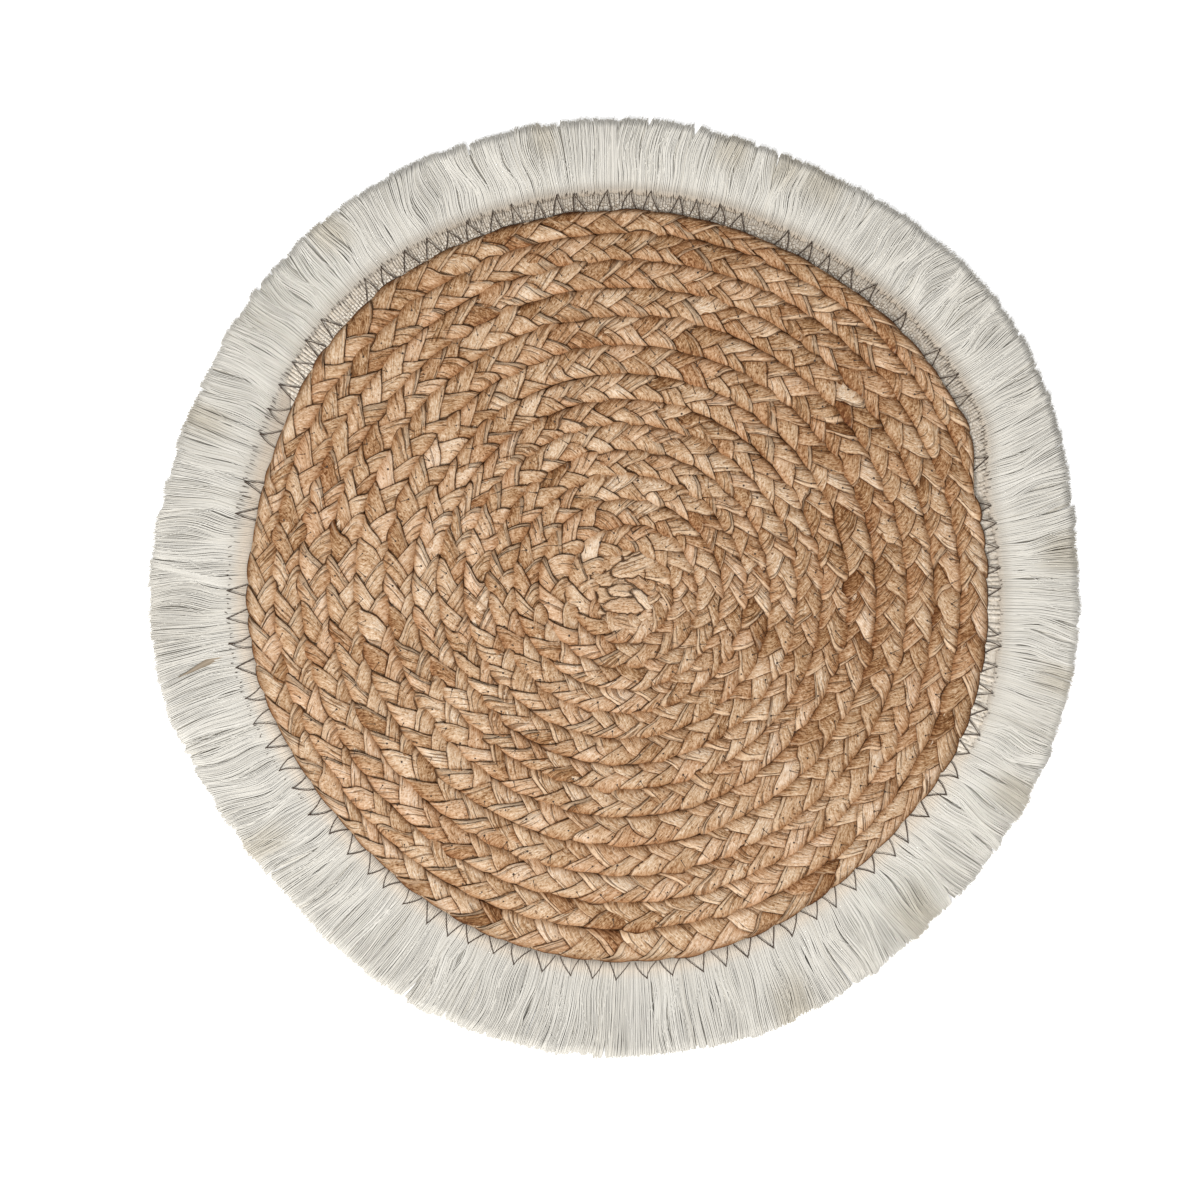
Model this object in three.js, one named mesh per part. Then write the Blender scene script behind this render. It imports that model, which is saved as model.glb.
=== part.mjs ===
// Round placemat: a flat straw plait sewn up as a spiral, with a cotton fringe round its rim.
// Millimetres, +Z up. It lies flat on Z = 0, with the origin under the middle of its box.
import * as THREE from 'three';

// The plait, as it lies from the rim inward. Turns and angles run anticlockwise seen from above.
const PLAIT_THICKNESS = 5.5;
const SEAM_DEPTH = 1.5;
const SHOULDER = 0.28;
const RIM_SLOPE = 1.0;
const RIM_LOW = 1.2;
const END_ANGLE = 14;
const END_TAPER = 13;
const OUTER_RADIUS = 159.6;
const STEPS_PER_TURN = 60;
const TURNS = [
  { width: 12.4 },
  { width: 10.9 },
  { width: 11.0 },
  { width: 11.1 },
  { width: 12.3 },
  { width: 11.8 },
  { width: 10.7 },
  { width: 9.9 },
  { width: 10.5 },
  { width: 10.4 },
  { width: 9.4 },
  { width: 10.4 },
  { width: 10.8 },
  { width: 10.4 },
];
const EYE_STEP = 5.5;
const EYE_OFFSET = 1.4;
const EYE_BEARING = 45;

// How far the rows and the rim stray from a true spiral: waves round the mat, with their height
// in mm and the angle of a crest.
const ROW_WAVES = [
  { waves: 1, height: 2.3, crest: 137 },
  { waves: 2, height: 0.8, crest: -25 },
];
const RIM_WAVES = [
  { waves: 1, height: 2.0, crest: -175 },
  { waves: 2, height: 2.1, crest: -44 },
  { waves: 3, height: 0.9, crest: 4 },
  { waves: 4, height: 0.8, crest: -6 },
  { waves: 5, height: 1.1, crest: -18 },
  { waves: 7, height: 0.8, crest: -17 },
];
const WAVES_FADE_IN = { from: 8, to: 45 };
const RIM_BLEND = { from: 0.82, to: 1.02 };

// The fringe: a header strip round the rim, and locks of thread fused to it.
const HEADER_GAP = 0.35;
const HEADER_WIDTH = 6.5;
const HEADER_THICKNESS = 2.2;
const LOCKS_PER_STEP = 4;
const LOCK_ROOT_SHARE = 0.8;
const LOCK_TIP_SHARE = 0.66;
const LOCK_ROOT_THICKNESS = 2.0;
const LOCK_TIP_THICKNESS = 1.0;
const LOCK_SECTIONS = 3;
const LOCK_STRAY = 0.35;
const TIP_STRAY = 1.3;
const FRINGE_RADIUS = 190.1;
const FRINGE_CENTRE = { x: -3.8, y: 3.1 };
const FRINGE_WAVES = [
  { waves: 2, height: 0.8, crest: -88 },
  { waves: 3, height: 1.6, crest: 33 },
  { waves: 4, height: 0.7, crest: 13 },
  { waves: 5, height: 1.3, crest: -29 },
  { waves: 7, height: 0.9, crest: -17 },
];
// Places where the locks part: the angle, how far each side leans away, and over what arc.
const PARTINGS = [
  { angle: 6, lean: 1.6, arc: 8 },
  { angle: 48, lean: 0.9, arc: 7 },
  { angle: 118, lean: 1.0, arc: 7 },
  { angle: 190, lean: 1.6, arc: 7 },
  { angle: 246, lean: 1.2, arc: 6 },
  { angle: 265, lean: 1.5, arc: 6 },
  { angle: 318, lean: 1.0, arc: 7 },
];
const SWIRLS = [
  { waves: 3, height: 1.6, crest: 20 },
  { waves: 8, height: 0.9, crest: 9 },
  { waves: 17, height: 0.5, crest: 3 },
];

const STRAW = { color: 0xc69a6b, roughness: 0.75, metalness: 0 };
const COTTON = { color: 0xdedbd2, roughness: 0.9, metalness: 0 };

const radians = THREE.MathUtils.degToRad;
const { smoothstep, lerp } = THREE.MathUtils;

// The sum of a table's waves at an angle in degrees.
function waveSum(table, angle) {
  return table.reduce(
    (sum, row) => sum + row.height * Math.cos(row.waves * radians(angle - row.crest)), 0);
}

// A fixed number from 0 to 1 for each piece of the pattern, so that it is uneven but repeatable.
function uneven(index, kind) {
  const value = Math.sin(index * 12.9898 + kind * 78.233) * 43758.5453;
  return value - Math.floor(value);
}

// A closed mesh gathered point by point and face by face.
class Shell {
  constructor() {
    this.points = [];
    this.faces = [];
  }

  point(x, y, z) {
    return this.points.push([x, y, z]) - 1;
  }

  face(...corners) {
    const loop = corners.filter((corner, i) => corner !== corners[(i + 1) % corners.length]);
    for (let i = 2; i < loop.length; i += 1) this.faces.push(loop[0], loop[i - 1], loop[i]);
  }

  geometry() {
    const geometry = new THREE.BufferGeometry();
    geometry.setAttribute('position', new THREE.Float32BufferAttribute(this.points.flat(), 3));
    geometry.setIndex(this.faces);
    geometry.computeVertexNormals();
    return geometry;
  }
}

const polar = (radius, angle) => [
  radius * Math.cos(radians(angle)),
  radius * Math.sin(radians(angle)),
];
const angleAt = (turn) => END_ANGLE + 360 * turn;

// The radius of the seam after so many turns from the outer end, as a true spiral.
function spiralRadius(turn) {
  const whole = Math.min(Math.floor(turn), TURNS.length - 1);
  const outside = TURNS.slice(0, whole).reduce((sum, row) => sum + row.width, 0);
  const inTable = Math.min(turn - whole, 1) * TURNS[whole].width;
  return OUTER_RADIUS - outside - inTable - Math.max(0, turn - TURNS.length) * EYE_STEP;
}

// The radius of the seam as it really lies. The first turn of it is the rim.
function seamRadius(turn) {
  const radius = spiralRadius(turn);
  const angle = angleAt(turn);
  const steady = smoothstep(radius, WAVES_FADE_IN.from, WAVES_FADE_IN.to);
  const rim = 1 - smoothstep(turn, RIM_BLEND.from, RIM_BLEND.to);
  const waves = lerp(waveSum(ROW_WAVES, angle), waveSum(RIM_WAVES, angle), rim);
  return radius + steady * waves;
}

// The outer edge of a row: at its outer end the plait runs in to nothing along the next row.
function rowEdge(turn) {
  const grown = smoothstep(turn * 360, 0, END_TAPER);
  return turn >= 1 ? seamRadius(turn) : lerp(seamRadius(turn + 1), seamRadius(turn), grown);
}

const rimRadius = (step) => rowEdge((step % STEPS_PER_TURN) / STEPS_PER_TURN);
const stepAngle = (step) => angleAt(step / STEPS_PER_TURN);

// The plaited mat: rounded rows on top, a rounded rim and a flat underside, in one solid.
function buildMat() {
  const shell = new Shell();
  const steps = TURNS.length * STEPS_PER_TURN;
  const seamHeight = PLAIT_THICKNESS - SEAM_DEPTH;
  const seams = [];
  const outerShoulder = [];
  const innerShoulder = [];

  for (let step = 0; step <= steps + STEPS_PER_TURN; step += 1) {
    const turn = step / STEPS_PER_TURN;
    seams.push(shell.point(...polar(rowEdge(turn), stepAngle(step)), seamHeight));
  }
  seams[0] = seams[STEPS_PER_TURN];

  for (let step = 0; step <= steps; step += 1) {
    const turn = step / STEPS_PER_TURN;
    const outer = rowEdge(turn);
    const inner = rowEdge(turn + 1);
    const rise = SEAM_DEPTH * smoothstep(turn * 360, 0, END_TAPER);
    const shoulder = (share) => shell.point(
      ...polar(lerp(outer, inner, share), stepAngle(step)), seamHeight + rise);
    outerShoulder.push(step === 0 ? seams[0] : shoulder(SHOULDER));
    innerShoulder.push(step === 0 ? seams[0] : shoulder(1 - SHOULDER));
  }

  const across = (step) => [
    seams[step], outerShoulder[step], innerShoulder[step], seams[step + STEPS_PER_TURN]];
  for (let step = 0; step < steps; step += 1) {
    const here = across(step);
    const next = across(step + 1);
    for (let i = 0; i < 3; i += 1) shell.face(here[i], next[i], next[i + 1], here[i + 1]);
  }

  // The eye, where the plait starts: a fan over the last seam and the row's inner end.
  const eye = shell.point(...polar(EYE_OFFSET, END_ANGLE + EYE_BEARING), PLAIT_THICKNESS);
  const loop = [...seams.slice(steps), innerShoulder[steps], outerShoulder[steps], seams[steps]];
  for (let i = 1; i < loop.length; i += 1) shell.face(eye, loop[i - 1], loop[i]);

  // The rim: two rings of points under the outermost seam, and the flat underside.
  const ring = (inset, height) => Array.from({ length: STEPS_PER_TURN }, (_, step) => shell.point(
    ...polar(rimRadius(step) - inset, stepAngle(step)), height));
  const rings = [
    seams.slice(0, STEPS_PER_TURN),
    ring(0, RIM_LOW),
    ring(RIM_SLOPE, 0),
  ];
  for (let step = 0; step < STEPS_PER_TURN; step += 1) {
    const next = (step + 1) % STEPS_PER_TURN;
    for (let i = 1; i < rings.length; i += 1) {
      shell.face(rings[i - 1][step], rings[i][step], rings[i][next], rings[i - 1][next]);
    }
  }
  const under = shell.point(0, 0, 0);
  for (let step = 0; step < STEPS_PER_TURN; step += 1) {
    const next = (step + 1) % STEPS_PER_TURN;
    shell.face(under, rings[2][next], rings[2][step]);
  }
  return shell.geometry();
}

// Where a lock's tip lies, seen from the middle of the mat.
function tipRadius(angle) {
  const reach = FRINGE_RADIUS + waveSum(FRINGE_WAVES, angle);
  const [dx, dy] = polar(1, angle);
  const along = FRINGE_CENTRE.x * dx + FRINGE_CENTRE.y * dy;
  const aside = FRINGE_CENTRE.x * dy - FRINGE_CENTRE.y * dx;
  return along + Math.sqrt(reach * reach - aside * aside);
}

// How far a lock's tip leans along the rim: slow swirls, and partings that push locks aside.
function tipLean(angle) {
  const parted = PARTINGS.reduce((sum, row) => {
    const from = THREE.MathUtils.euclideanModulo(angle - row.angle + 180, 360) - 180;
    return sum + Math.sign(from) * row.lean * Math.exp(-Math.abs(from) / row.arc);
  }, 0);
  return parted + waveSum(SWIRLS, angle);
}

// The fringe: the header ring and every lock on it, in one solid.
function buildFringe() {
  const shell = new Shell();
  const locks = STEPS_PER_TURN * LOCKS_PER_STEP;
  const pitch = 360 / locks;

  // The header's outer edge keeps its distance from the rim all the way round.
  const headerRadius = (angle) => {
    const step = THREE.MathUtils.euclideanModulo(angle - END_ANGLE, 360) / 360 * STEPS_PER_TURN;
    const low = Math.floor(step);
    const rim = lerp(rimRadius(low), rimRadius(low + 1), step - low);
    return rim + HEADER_GAP + HEADER_WIDTH;
  };
  const rim = Array.from({ length: STEPS_PER_TURN }, (_, step) => ({
    top: shell.point(...polar(rimRadius(step) + HEADER_GAP, stepAngle(step)), HEADER_THICKNESS),
    low: shell.point(...polar(rimRadius(step) + HEADER_GAP, stepAngle(step)), 0),
  }));

  // Two header points at each lock's root, one on each side of it.
  const root = (lock, side) => {
    const angle = END_ANGLE + (lock + 0.5 + side * LOCK_ROOT_SHARE / 2) * pitch;
    const place = polar(headerRadius(angle), angle);
    return { top: shell.point(...place, LOCK_ROOT_THICKNESS), low: shell.point(...place, 0) };
  };
  const roots = Array.from({ length: locks }, (_, lock) => [root(lock, -1), root(lock, 1)]);

  const edge = roots.flat();
  const perStep = LOCKS_PER_STEP * 2;
  for (let step = 0; step < STEPS_PER_TURN; step += 1) {
    const next = (step + 1) % STEPS_PER_TURN;
    shell.face(rim[step].low, rim[step].top, rim[next].top, rim[next].low);
    for (let i = 0; i < perStep; i += 1) {
      const at = step * perStep + i;
      const here = edge[at];
      const there = edge[(at + 1) % edge.length];
      const near = i < perStep / 2 ? rim[step] : rim[next];
      shell.face(near.top, here.top, there.top);
      shell.face(near.low, there.low, here.low);
      if (i === perStep / 2 - 1) {
        shell.face(rim[step].top, there.top, rim[next].top);
        shell.face(rim[step].low, rim[next].low, there.low);
      }
      const betweenLocks = i % 2 === 1;
      if (betweenLocks) shell.face(here.top, here.low, there.low, there.top);
    }
  }

  // Each lock: a four-sided strand that lies level, leans, and thins toward its tip.
  for (let lock = 0; lock < locks; lock += 1) {
    const angle = END_ANGLE + (lock + 0.5) * pitch;
    const inner = headerRadius(angle);
    const outer = tipRadius(angle) + TIP_STRAY * (uneven(lock, 1) * 2 - 1);
    const lean = tipLean(angle) + LOCK_STRAY * (uneven(lock, 2) * 2 - 1);
    let [left, right] = roots[lock];
    for (let section = 1; section <= LOCK_SECTIONS; section += 1) {
      const share = section / LOCK_SECTIONS;
      const radius = lerp(inner, outer, share);
      const half = 0.5 * lerp(LOCK_ROOT_SHARE, LOCK_TIP_SHARE, share) * pitch;
      const swing = THREE.MathUtils.radToDeg(lean * share * share / radius);
      const height = lerp(LOCK_ROOT_THICKNESS, LOCK_TIP_THICKNESS, share);
      const corner = (side, z) => shell.point(...polar(radius, angle + swing + side * half), z);
      const nextLeft = { top: corner(-1, height), low: corner(-1, 0) };
      const nextRight = { top: corner(1, height), low: corner(1, 0) };
      shell.face(left.top, nextLeft.top, nextRight.top, right.top);
      shell.face(left.low, right.low, nextRight.low, nextLeft.low);
      shell.face(left.low, nextLeft.low, nextLeft.top, left.top);
      shell.face(right.low, right.top, nextRight.top, nextRight.low);
      left = nextLeft;
      right = nextRight;
    }
    shell.face(left.low, right.low, right.top, left.top);
  }
  return shell.geometry();
}

function named(name, geometry, finish) {
  const mesh = new THREE.Mesh(geometry, new THREE.MeshStandardMaterial(finish));
  mesh.name = name;
  return mesh;
}

const placemat = new THREE.Group();
placemat.add(named('braided_mat', buildMat(), STRAW));
placemat.add(named('fringe', buildFringe(), COTTON));

const box = new THREE.Box3().setFromObject(placemat, true);
const middle = box.getCenter(new THREE.Vector3());
placemat.position.set(-middle.x, -middle.y, 0);

export default placemat;
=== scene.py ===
"""Looks of a round straw placemat: a flat plait of folded strips sewn up as a spiral, with a
cotton thread fringe. Sizes are in millimetres here and turn into metres as each mesh is made."""

import math

import bpy
import numpy as np
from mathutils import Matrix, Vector
from mathutils.bvhtree import BVHTree
from numpy.random import default_rng


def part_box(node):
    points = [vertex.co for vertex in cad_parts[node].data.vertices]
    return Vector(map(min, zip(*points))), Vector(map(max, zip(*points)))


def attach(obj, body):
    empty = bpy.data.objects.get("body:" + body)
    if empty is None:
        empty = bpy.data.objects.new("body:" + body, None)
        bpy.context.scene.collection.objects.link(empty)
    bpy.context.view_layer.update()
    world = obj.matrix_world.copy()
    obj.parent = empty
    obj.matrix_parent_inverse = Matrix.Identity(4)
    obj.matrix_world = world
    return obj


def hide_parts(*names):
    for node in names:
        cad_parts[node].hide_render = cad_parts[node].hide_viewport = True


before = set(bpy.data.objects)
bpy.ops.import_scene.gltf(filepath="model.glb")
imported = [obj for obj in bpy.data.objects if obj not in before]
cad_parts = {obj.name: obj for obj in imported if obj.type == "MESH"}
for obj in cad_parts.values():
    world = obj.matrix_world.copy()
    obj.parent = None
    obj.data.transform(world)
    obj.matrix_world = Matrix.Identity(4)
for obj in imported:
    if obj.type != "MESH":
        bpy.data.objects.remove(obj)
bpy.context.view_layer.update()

MM = 0.001
DEGREE = np.radians(1.0)

# The plait as it lies, with the same sizes as its solid. Turns run inward from the outer end.
END_ANGLE = 14.0
END_TAPER = 13.0
OUTER_RADIUS = 159.6
TURN_WIDTHS = [12.4, 10.9, 11.0, 11.1, 12.3, 11.8, 10.7, 9.9, 10.5, 10.4, 9.4, 10.4, 10.8, 10.4]
EYE_STEPS = [5.5, 2.0]
ROW_WAVES = [(1, 2.3, 137), (2, 0.8, -25)]
RIM_WAVES = [(1, 2.0, -175), (2, 2.1, -44), (3, 0.9, 4), (4, 0.8, -6), (5, 1.1, -18), (7, 0.8, -17)]
WAVES_FADE_IN = (8.0, 45.0)
RIM_BLEND = (0.82, 1.02)
RIM_STEPS = 60

# The plait's strips: their pitch at the outer and the inner end, and their heights. A strip sinks by
# SHINGLE a pitch, bulges by CROWN, and rolls down to the seam within ROLL_SHARE of the row. Riders
# over the seam lie RIDE_HEIGHT higher. Over RIM_TURNS the outermost row's outer edge becomes a seam.
PLAIT_THICKNESS = 5.5
PITCHES = [12.9, 9.2]
SHINGLE = 1.15
CROWN = 0.55
ROW_DOME = 0.85
ROLL_SHARE = 0.21
SEAM_HEIGHT = 2.9
RIDE_HEIGHT = 2.7
LOW_STRIPS = 3.7
RIM_TURNS = (0.92, 1.0)

# The plait's hidden core.
CORE_LOW, CORE_HIGH = 2.4, 2.9
CORE_INSET = 2.4

# Strips that are darker in the photograph: x and y from the spiral's middle, and their shade.
DARK_STRIPS = [
    (78.3, -117.4, 0.22), (89.7, 70.1, 0.15), (-62.0, -128.0, 0.18), (29.8, 137.4, 0.3),
    (-100.0, 96.0, 0.28), (-8.0, -137.0, 0.32), (54.6, -13.9, 0.27), (96.2, -31.0, 0.27),
    (-43.8, 146.0, 0.24)]

# The crumpled strips at the middle: x, y, length, width, heading in degrees, shade and level.
EYE_TURN = 13.0
EYE_RADIUS = 18.8
EYE_STRIPS = [
    (-2.3, 0.6, 9.5, 4.6, -4, 0.66, 0.7), (6.1, -3.2, 10.0, 3.4, -44, 0.86, 0.9),
    (-0.7, -5.6, 15.0, 5.6, 2, 0.58, 0.5), (-10.2, 5.5, 10.0, 6.5, 20, 0.47, 0.2),
    (-9.4, -1.4, 9.5, 6.0, -20, 0.5, 0.3), (5.8, 3.0, 20.0, 3.6, -34, 0.36, 0.4),
    (2.4, 10.4, 15.0, 6.6, 20, 0.63, 0.8), (-12.3, 12.3, 16.0, 7.4, 8, 0.54, 0.6),
    (12.9, 3.4, 12.0, 5.4, -40, 0.5, 0.2), (9.4, 7.3, 8.5, 4.6, -36, 0.47, 0.1),
    (-2.3, -13.6, 14.0, 7.6, -15, 0.6, 0.6), (8.7, -10.6, 11.0, 5.4, 18, 0.58, 0.3),
    (-14.4, -8.8, 13.0, 6.4, -27, 0.52, 0.4), (14.5, -6.0, 9.0, 6.0, -22, 0.7, 0.5),
    (10.3, 13.9, 9.5, 5.2, -58, 0.45, 0.1), (-8.9, -15.8, 9.0, 5.2, -30, 0.46, 0.0),
    (-17.0, 2.6, 12.0, 5.2, -66, 0.68, 0.7), (16.6, 9.6, 10.0, 5.0, -66, 0.52, 0.3),
    (6.2, -16.8, 11.0, 5.0, 10, 0.5, 0.1), (-3.0, 16.9, 10.0, 4.8, 12, 0.5, 0.2)]

# The fringe. Waves and swirls are counts round the rim, sizes in mm and angles of their crests. A
# parting is its angle, how far the tips lean apart in mm, and its arc in degrees.
FRINGE_RADIUS = 190.1
FRINGE_CENTRE = (-3.8, 3.1)
FRINGE_WAVES = [(2, 0.8, -88), (3, 1.6, 33), (4, 0.7, 13), (5, 1.3, -29), (7, 0.9, -17)]
PARTINGS = [(48, 0.9, 7), (118, 1.0, 7), (190, 1.6, 7), (246, 1.2, 6), (265, 1.5, 6), (318, 1.0, 7)]
SWIRLS = [(3, 1.0, 20), (8, 0.9, 9), (17, 0.5, 3)]

# The layers of the fringe's threads from the lowest up: seed, count, steps along a thread, radius of
# a thread, tone, and how much shorter than the outline. The lowest layer's darker tone is painted shade
# under the layers above.
THREAD_LAYERS = [
    (21, 1900, 6, 0.58, 0.44, 1.0),
    (22, 1700, 8, 0.36, 0.52, 0.5),
    (23, 2300, 9, 0.3, 0.53, 0.0),
    (24, 3000, 10, 0.25, 0.56, 0.3)]
STRAY_LAYER = 3.2
THREAD_SIDES = 3

# The radii at which sizes along the rim turn into angles.
RIM_ARC = 157.0
DASH_ARC = 160.0
STRAY_ARC = 172.0
LOCK_ARC = 175.0

# Narrow gaps through the fringe and notches in its tips, as an angle, the distances from the rim
# where each opens, is widest and has closed, and half its width. A notch has one depth.
GAPS = [(245.4, 6.0, 12.0, 18.0, 1.3), (256.4, 12.0, 24.0, 30.0, 1.1), (222.0, 12.0, 18.0, 26.0, 0.6),
        (296.0, 10.0, 16.0, 25.0, 0.5), (281.5, 14.0, 19.0, 26.0, 0.5)]
SMALL_GAP_COUNT = 56
NOTCHES = [(81.5, 4.5, 1.5), (87.3, 3.6, 1.1), (138.2, 3.0, 0.6), (246.5, 2.6, 0.6), (252.0, 4.0, 0.5),
           (267.0, 5.0, 0.8), (316.5, 2.5, 1.2), (355.2, 2.2, 0.5)]

# How these change round the rim, as angles and values: how far in from the rim the straw ends, the
# threads' lean at their tips, how much of the header shows, its reach and its ribs' pitch in mm, how
# much painted shade the gaps round its loops get, how many dark dashes of painted shade and how long,
# how many of the zigzag's peaks, the painted shadow of the mat on the threads' roots, and the threads'
# painted brightness, which evens out how the lamp lights them round the rim.
RIM_INSETS = [(0, 0.7), (35, 1.5), (325, 1.5), (345, 0.7), (360, 0.7)]
LEANS = [(0, -1.0), (4, -1.5), (7, 3.5), (16, 3.0), (26, 0.5), (120, 0.0), (165, 0.5), (178, 2.0), (195, 2.5),
         (215, 0.0), (238, -3.0), (254, -5.0), (264, -1.5), (275, 0.0), (300, 1.0), (340, 0.0), (360, -1.0)]
HEADER_SHARES = [(0, 1.0), (147, 1.0), (152, 0.0), (333, 0.0), (336, 1.0), (360, 1.0)]
HEADER_REACHES = [(0, 5.0), (60, 5.7), (120, 5.7), (160, 6.7), (205, 6.7), (214, 5.4), (336, 5.0), (360, 5.0)]
RIB_PITCHES = [(0, 1.9), (30, 1.3), (55, 0.98), (120, 0.98), (160, 1.8), (214, 2.1), (336, 1.9), (360, 1.9)]
LOOP_GAP_SHADES = [(0, 0.35), (35, 0.6), (52, 1.0), (120, 1.0), (150, 0.5), (216, 0.2), (336, 0.2), (360, 0.35)]
DASH_SHARES = [(0, 0.4), (14, 0.45), (18, 0.9), (28, 0.9), (50, 0.6), (130, 0.6), (150, 0.9), (190, 0.9),
               (205, 0.6), (217, 0.0), (333, 0.0), (336, 0.4), (360, 0.4)]
DASH_LENGTHS = [(0, 1.6), (18, 3.2), (28, 3.0), (60, 2.4), (120, 2.5), (160, 3.6), (171, 4.2), (175, 1.6),
                (212, 1.6), (335, 1.2), (360, 1.8)]
ZIGZAG_SHARES = [(0, 0.9), (14, 0.9), (18, 0.5), (27, 0.5), (32, 0.9), (125, 1.0), (150, 0.85), (160, 0.4),
                 (174, 0.4), (184, 0.7), (190, 1.0), (336, 1.0), (345, 0.8), (360, 0.9)]
ROOT_SHADES = [(0, 0.6), (20, 0.66), (50, 1.0), (115, 1.0), (140, 0.55), (170, 0.22), (200, 0.05),
               (330, 0.0), (345, 0.32), (360, 0.6)]
PAINTED_BRIGHTNESS = [(0, 0.89), (40, 0.95), (85, 1.0), (125, 0.9), (150, 0.85), (190, 0.87), (220, 0.87),
            (250, 0.84), (280, 0.82), (310, 0.84), (340, 0.88), (360, 0.89)]

# Beige patches near the tips, as an angle and half its width in degrees.
PATCHES = [(64, 2.6), (69, 1.8), (77, 2.4), (100, 1.5), (130, 2.4), (158, 2.0), (215, 2.2), (292, 2.4),
           (312, 3.0), (333, 2.2), (349, 1.8), (365, 2.0)]

# The header's section: how far out from the rim, and the height where threads cover it and where not.
HEADER_SECTION = [
    (0.15, 0.05, 0.05), (-1.2, 1.7, 1.9), (-2.2, 3.2, 3.7), (-0.6, 2.85, 3.55),
    (1.4, 1.55, 2.95), (3.4, 0.9, 2.25), (4.4, 0.7, 1.6), (4.9, 0.05, 0.05)]

# One peak of the zigzag, as shares of its height and of half its width.
ZIGZAG_STEPS = [
    (0.0, -1.0), (0.12, -0.9), (0.4, -0.62), (0.75, -0.26), (0.94, -0.06), (1.0, 0.0),
    (0.93, 0.07), (0.72, 0.28), (0.38, 0.62), (0.12, 0.88), (0.0, 1.0)]

# A needle hole's dot as rings: how far it is shifted along x, y and z, and its share of the size.
HOLE_RINGS = np.array([(0.0, 0.0, -0.25, 1.0), (0.04, 0.02, 0.02, 0.9), (0.04, 0.0, 0.07, 0.4)])
HOLE_SIDES = 6

# The studio, in metres: an even white surround, a white floor and one soft lamp at the lower left.
SURROUND_STRENGTH = 0.55
FLOOR_SIZE, FLOOR_DROP, FLOOR_GLOW = 8.0, 0.0003, 0.35
LAMP_PLACE = (-1.05, -2.1, 2.25)
LAMP_SIZE, LAMP_POWER = 0.9, 112.0
LAMP_COLOUR = (1.0, 0.99, 0.975)

# The photograph, in pixels, with a pixel's size in mm and the camera's height over it in metres.
PHOTO_WIDTH = 1200
SPIRAL_IN_PHOTO = (628.0, 592.0)
PIXEL = 0.4077
CAMERA_HEIGHT = 2.4
SENSOR_WIDTH = 36.0


def round_rim(table, angle):
    places, values = zip(*table)
    return np.interp(angle % 360.0, places, values)


def wave_sum(table, angle):
    return sum(height * np.cos(waves * np.radians(angle - crest)) for waves, height, crest in table)


def smooth(value, low, high):
    share = np.clip((value - low) / (high - low), 0.0, 1.0)
    return share * share * (3.0 - 2.0 * share)


def mix(a, b, share):
    return a + (b - a) * share


def degrees_from(angle, place):
    """How far round an angle is from a place, by the shorter way."""
    return (angle - place + 180.0) % 360.0 - 180.0


def column(values):
    """One value for each strand, against steps along it."""
    return np.asarray(values)[:, None]


def each(values):
    """One value for each patch, against its rows and columns."""
    return np.asarray(values)[:, None, None]


def drift(rng, angle, knots, size):
    """A smooth random curve round the rim."""
    heights = rng.normal(0, size, knots)
    place = (angle % 360.0) / 360.0 * knots
    low = np.floor(place).astype(int)
    return mix(heights[low % knots], heights[(low + 1) % knots], smooth(place - low, 0.0, 1.0))


# Places on the spiral.
SEAM_RADII = OUTER_RADIUS - np.cumsum([0.0, *TURN_WIDTHS, *EYE_STEPS])


def angle_at(turn):
    return END_ANGLE + 360.0 * turn


def seam_radius(turn):
    radius = np.interp(turn, np.arange(len(SEAM_RADII)), SEAM_RADII)
    angle = angle_at(turn)
    rim = 1.0 - smooth(turn, *RIM_BLEND)
    waves = mix(wave_sum(ROW_WAVES, angle), wave_sum(RIM_WAVES, angle), rim)
    return radius + smooth(radius, *WAVES_FADE_IN) * waves


def row_edge(turn):
    turn = np.maximum(turn, 0.0)
    grown = smooth(turn * 360.0, 0.0, END_TAPER)
    full = seam_radius(turn)
    return np.where(turn < 1.0, mix(seam_radius(turn + 1.0), full, grown), full)


def rim_radius(angle):
    return row_edge(((angle - END_ANGLE) % 360.0) / 360.0)


def tip_radius(angle):
    reach = FRINGE_RADIUS + wave_sum(FRINGE_WAVES, angle)
    dx, dy = np.cos(np.radians(angle)), np.sin(np.radians(angle))
    along = FRINGE_CENTRE[0] * dx + FRINGE_CENTRE[1] * dy
    aside = FRINGE_CENTRE[0] * dy - FRINGE_CENTRE[1] * dx
    return along + np.sqrt(reach * reach - aside * aside)


def plan(radius, angle):
    """The outline's own frame, with the spiral's middle at nought."""
    return radius * np.cos(np.radians(angle)), radius * np.sin(np.radians(angle))


def spiral_middle():
    """The spiral's middle in the part's frame, in mm, from the box of the mat's solid."""
    low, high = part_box("braided_mat")
    angles = END_ANGLE + 360.0 * np.arange(RIM_STEPS) / RIM_STEPS
    x, y = plan(rim_radius(angles), angles)
    return ((low[0] + high[0]) / 2 / MM - (x.min() + x.max()) / 2,
            (low[1] + high[1]) / 2 / MM - (y.min() + y.max()) / 2)


MIDDLE = spiral_middle()


def at(radius, angle, height):
    x, y = plan(radius, angle)
    return np.stack(np.broadcast_arrays(x + MIDDLE[0], y + MIDDLE[1], height), axis=-1)


def on_row(turn, share, height):
    """A point on the plait: share is 0 at a row's outer edge and 1 at its inner edge."""
    return at(mix(row_edge(turn), row_edge(turn + 1.0), share), angle_at(turn), height)


# Distance along the middle of the plait, against turns.
TABLE_TURNS = np.linspace(0.0, 15.0, 15 * 240 + 1)
ROW_MIDDLES = (row_edge(TABLE_TURNS) + row_edge(TABLE_TURNS + 1.0)) / 2
TABLE_LENGTHS = np.concatenate([[0.0], np.cumsum(
    np.radians(360.0) * np.diff(TABLE_TURNS) * (ROW_MIDDLES[1:] + ROW_MIDDLES[:-1]) / 2)])
PLAIT_LENGTH = float(np.interp(EYE_TURN, TABLE_TURNS, TABLE_LENGTHS))


def turn_at(length):
    return np.interp(length, TABLE_LENGTHS, TABLE_TURNS)


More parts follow.
